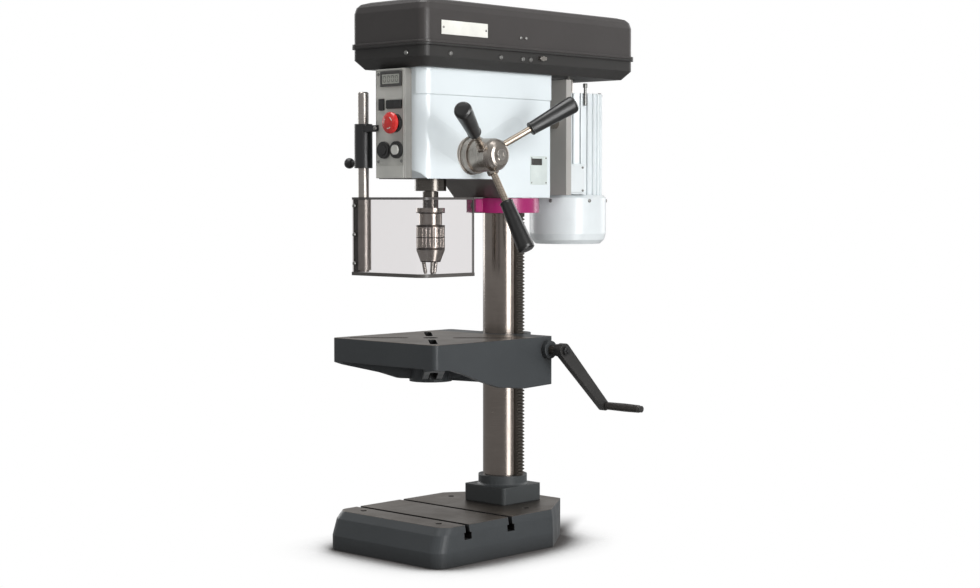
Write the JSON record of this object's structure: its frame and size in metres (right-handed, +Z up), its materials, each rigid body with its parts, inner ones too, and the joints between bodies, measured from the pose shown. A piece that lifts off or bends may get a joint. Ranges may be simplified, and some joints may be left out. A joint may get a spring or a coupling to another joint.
{
  "type": "benchtop drill press",
  "caption": "Benchtop drill press: slotted base, round column, crank-lifted slotted table, belt-driven spindle with keyless chuck, spoked quill feed and hinged clear chuck guard.",
  "frame": {"origin": "on the column axis, in the plane of the bench", "axes": "+Z up along the column, -Y towards the operator, +X to the operator's right"},
  "size_m": [0.3984, 0.582, 0.9674],
  "materials": {
    "dark_casting": "satin dark slate paint with machined working faces",
    "bolt_steel": "dull zinc",
    "column_steel": "ground steel",
    "collar_paint": "magenta gloss paint",
    "rack_steel": "bare machined iron",
    "white_paint": "white gloss paint",
    "panel_grey": "grey moulded cover",
    "display": "dark display window",
    "black_plastic": "black moulded",
    "red_plastic": "red moulded",
    "pale_plastic": "pale moulded",
    "bright_steel": "ground and polished steel",
    "chuck_steel": "fluted steel sleeve",
    "hub_metal": "turned and polished",
    "chrome": "chromed bar",
    "bronze": "bearing bronze",
    "spring_steel": "blued spring steel",
    "black_metal": "black satin paint",
    "pulley_metal": "turned aluminium",
    "belt_rubber": "belt rubber",
    "motor_paint": "light grey paint",
    "cover_paint": "dark grey textured paint",
    "clear_sheet": "clear polycarbonate sheet"
  },
  "bodies": {
    "frame": {"base_casting": "dark_casting", "column_flange": "dark_casting", "flange_bolts": "bolt_steel", "column": "column_steel", "rack_collar": "collar_paint", "set_screws": "bolt_steel", "head_casting": "white_paint", "control_box": "panel_grey", "display_window": "display", "button_bezels": "black_plastic", "feed_bush": "bronze", "spring_cup": "black_metal", "return_spring": "spring_steel", "sleeve_bearings": "bright_steel", "drive_belt": "belt_rubber", "belt_pan": "cover_paint", "pan_screws": "bolt_steel", "hinge_pins": "bolt_steel", "guard_bracket": "black_metal"},
    "table_swing": {"lift_rack": "rack_steel"},
    "table": {"table_casting": "dark_casting"},
    "table_lock": {"table_lock": "black_plastic"},
    "lift_gear": {"lift_gear": "rack_steel"},
    "crank": {"crank_shaft": "rack_steel", "crank_arm": "black_metal"},
    "crank_grip": {"crank_grip": "black_plastic"},
    "quill": {"quill": "bright_steel", "quill_bearings": "bright_steel"},
    "spindle": {"spindle": "bright_steel", "chuck_body": "bright_steel"},
    "chuck_sleeve": {"chuck_sleeve": "chuck_steel"},
    "jaw_a": {"chuck_jaw_a": "bright_steel"},
    "jaw_b": {"chuck_jaw_b": "bright_steel"},
    "jaw_c": {"chuck_jaw_c": "bright_steel"},
    "feed": {"feed_shaft": "bright_steel", "feed_hub": "hub_metal", "feed_spokes": "chrome", "feed_grips": "black_plastic"},
    "depth_ring": {"depth_ring": "hub_metal"},
    "drive": {"drive_sleeve": "pulley_metal", "spindle_pulley": "pulley_metal"},
    "motor": {"motor_plate": "black_metal", "slide_rods": "bright_steel", "motor_housing": "motor_paint", "motor_cowl": "motor_paint", "terminal_box": "motor_paint"},
    "rotor": {"motor_rotor": "bright_steel", "motor_pulley": "pulley_metal", "motor_fan": "black_metal"},
    "lid": {"belt_lid": "cover_paint"},
    "latch": {"lid_latch": "bright_steel"},
    "guard_rod": {"guard_rod": "chrome"},
    "guard_shield": {"guard_frame": "black_metal", "guard_shield": "clear_sheet"},
    "guard_knob": {"guard_knob": "black_plastic"},
    "estop": {"estop_button": "red_plastic"},
    "start_button": {"start_button": "pale_plastic"},
    "stop_button": {"stop_button": "black_plastic"},
    "light_switch": {"light_switch": "black_plastic"},
    "speed_switch": {"speed_switch": "black_plastic"}
  },
  "joints": [
    {"name": "table_swing", "type": "hinge", "parent": "frame", "child": "table_swing", "pos_m": [0, 0, 0], "axis": [0, 0, 1], "range_deg": [-15, 180]},
    {"name": "table_lift", "type": "slide", "parent": "table_swing", "child": "table", "axis": [0, 0, 1], "range_m": [-0.115, 0.015]},
    {"name": "lift_gear_turn", "type": "hinge", "parent": "table", "child": "lift_gear", "pos_m": [0.0577, 0, 0.327], "axis": [0, 1, 0], "continuous": true},
    {"name": "crank_turn", "type": "hinge", "parent": "table", "child": "crank", "pos_m": [0, -0.023, 0.356], "axis": [1, 0, 0], "continuous": true},
    {"name": "crank_grip_spin", "type": "hinge", "parent": "crank", "child": "crank_grip", "pos_m": [0, 0.08906, 0.24891], "axis": [1, 0, 0], "continuous": true},
    {"name": "table_lock_turn", "type": "hinge", "parent": "table", "child": "table_lock", "pos_m": [0, 0.064, 0.327], "axis": [1, 0, 0], "range_deg": [0, 45]},
    {"name": "quill_feed", "type": "slide", "parent": "frame", "child": "quill", "axis": [0, 0, -1], "range_m": [0, 0.08], "stiffness_N_per_m": 300, "springref_m": -0.25},
    {"name": "feed_turn", "type": "hinge", "parent": "frame", "child": "feed", "pos_m": [0, -0.1475, 0.7015], "axis": [1, 0, 0], "range_deg": [0, 330]},
    {"name": "depth_ring_turn", "type": "hinge", "parent": "feed", "child": "depth_ring", "pos_m": [0, -0.1475, 0.7015], "axis": [1, 0, 0], "range_deg": [-170, 170]},
    {"name": "spindle_spin", "type": "hinge", "parent": "quill", "child": "spindle", "pos_m": [0, -0.187, 0], "axis": [0, 0, 1], "continuous": true},
    {"name": "chuck_sleeve_turn", "type": "hinge", "parent": "spindle", "child": "chuck_sleeve", "pos_m": [0, -0.187, 0], "axis": [0, 0, 1], "range_deg": [-216, 720]},
    {"name": "jaw_a_slide", "type": "slide", "parent": "spindle", "child": "jaw_a", "axis": [0, 0.1736, 0.9848], "range_m": [-0.003, 0.01]},
    {"name": "jaw_b_slide", "type": "slide", "parent": "spindle", "child": "jaw_b", "axis": [-0.1504, -0.0868, 0.9848], "range_m": [-0.003, 0.01]},
    {"name": "jaw_c_slide", "type": "slide", "parent": "spindle", "child": "jaw_c", "axis": [0.1504, -0.0868, 0.9848], "range_m": [-0.003, 0.01]},
    {"name": "drive_spin", "type": "hinge", "parent": "frame", "child": "drive", "pos_m": [0, -0.187, 0], "axis": [0, 0, 1], "continuous": true},
    {"name": "motor_slide", "type": "slide", "parent": "frame", "child": "motor", "axis": [0, 1, 0], "range_m": [-0.012, 0]},
    {"name": "rotor_spin", "type": "hinge", "parent": "motor", "child": "rotor", "pos_m": [0, 0.182, 0], "axis": [0, 0, 1], "continuous": true},
    {"name": "lid_open", "type": "hinge", "parent": "frame", "child": "lid", "pos_m": [-0.101, 0, 0.8902], "axis": [0, -1, 0], "range_deg": [0, 100]},
    {"name": "latch_turn", "type": "hinge", "parent": "frame", "child": "latch", "pos_m": [0, 0.003, 0.877], "axis": [1, 0, 0], "range_deg": [0, 90]},
    {"name": "guard_slide", "type": "slide", "parent": "frame", "child": "guard_rod", "axis": [0, 0, 1], "range_m": [-0.045, 0.028]},
    {"name": "guard_swing", "type": "hinge", "parent": "guard_rod", "child": "guard_shield", "pos_m": [-0.073, -0.28, 0], "axis": [0, 0, 1], "range_deg": [-105, 0]},
    {"name": "guard_knob_turn", "type": "hinge", "parent": "frame", "child": "guard_knob", "pos_m": [0, -0.28, 0.688], "axis": [1, 0, 0], "range_deg": [0, 180]},
    {"name": "estop_press", "type": "slide", "parent": "frame", "child": "estop", "axis": [0, 1, 0], "range_m": [0, 0.0035], "stiffness_N_per_m": 800, "springref_m": -0.002},
    {"name": "start_press", "type": "slide", "parent": "frame", "child": "start_button", "axis": [0, 1, 0], "range_m": [0, 0.003], "stiffness_N_per_m": 500, "springref_m": -0.002},
    {"name": "stop_press", "type": "slide", "parent": "frame", "child": "stop_button", "axis": [0, 1, 0], "range_m": [0, 0.003], "stiffness_N_per_m": 500, "springref_m": -0.002},
    {"name": "light_press", "type": "slide", "parent": "frame", "child": "light_switch", "axis": [0, 1, 0], "range_m": [0, 0.002], "stiffness_N_per_m": 500, "springref_m": -0.002},
    {"name": "speed_rock", "type": "hinge", "parent": "frame", "child": "speed_switch", "pos_m": [0.011, -0.2775, 0], "axis": [0, 0, 1], "range_deg": [-5, 5], "stiffness_Nm_per_rad": 0.4}
  ],
  "couplings": [
    {"joint": "lift_gear_turn", "follows": "table_lift", "rad_per_m": -83.333},
    {"joint": "crank_turn", "follows": "table_lift", "rad_per_m": 1666.7},
    {"joint": "feed_turn", "follows": "quill_feed", "rad_per_m": 71.429},
    {"joint": "drive_spin", "follows": "rotor_spin", "ratio": 0.81043},
    {"joint": "spindle_spin", "follows": "rotor_spin", "ratio": 0.81043},
    {"joint": "jaw_a_slide", "follows": "chuck_sleeve_turn", "m_per_rad": 0.00079577},
    {"joint": "jaw_b_slide", "follows": "chuck_sleeve_turn", "m_per_rad": 0.00079577},
    {"joint": "jaw_c_slide", "follows": "chuck_sleeve_turn", "m_per_rad": 0.00079577}
  ]
}
